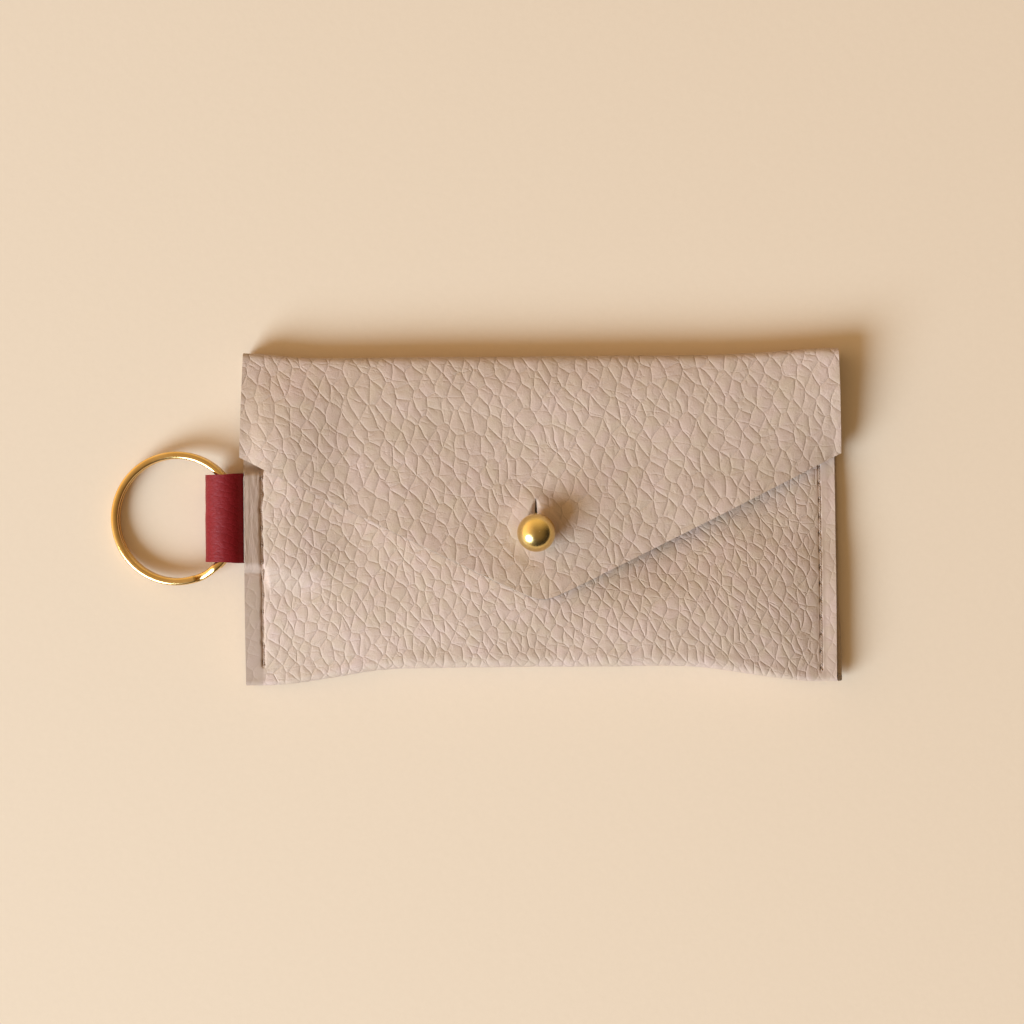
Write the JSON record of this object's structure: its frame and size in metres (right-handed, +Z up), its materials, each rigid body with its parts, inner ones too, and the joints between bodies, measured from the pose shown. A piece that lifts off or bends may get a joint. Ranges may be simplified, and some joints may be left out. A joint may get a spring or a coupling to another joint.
{
  "type": "keyring card holder",
  "caption": "Leather envelope card holder with a pointed flap on a ball stud, side seams and a split key ring in a leather tab.",
  "frame": {"origin": "middle of the back panel's flat outer face, which lies on the table", "axes": "+X across the width away from the ring, +Y from the bottom fold to the top fold, +Z up out of the front"},
  "size_m": [0.1356, 0.0616, 0.0149],
  "materials": {
    "body_leather": "pebbled taupe grain, satin, raw cut edges",
    "tab_leather": "burgundy grain, satin sheen, raw pink cut edge",
    "ring_brass": "polished",
    "stud_brass": "fine brushed satin",
    "thread": "waxed, self-coloured with the leather"
  },
  "bodies": {
    "pocket": {"leather_pocket": "body_leather", "key_tab": "tab_leather", "stud_post": "stud_brass", "stud_screw": "stud_brass", "left_needle_thread": "thread", "left_bobbin_thread": "thread", "right_needle_thread": "thread", "right_bobbin_thread": "thread"},
    "fold": {"top_fold": "body_leather"},
    "flap": {"flap": "body_leather", "flap_buttonhole": "body_leather"},
    "key_ring": {"split_ring": "ring_brass"}
  },
  "joints": [
    {"name": "fold_open", "type": "hinge", "parent": "pocket", "child": "fold", "pos_m": [0, 0.02984, 0.00091], "axis": [-1, 0, 0], "range_deg": [0, 86]},
    {"name": "flap_open", "type": "hinge", "parent": "fold", "child": "flap", "pos_m": [0, 0.02984, 0.00529], "axis": [-1, 0, 0], "range_deg": [0, 86], "deforming": ["flap_buttonhole"]},
    {"name": "ring_swing", "type": "hinge", "parent": "pocket", "child": "key_ring", "pos_m": [-0.05825, 0, 0.0042], "axis": [0, 1, 0], "range_deg": [-100, 120]}
  ],
  "couplings": [
    {"joint": "flap_open", "follows": "fold_open", "ratio": 1}
  ]
}
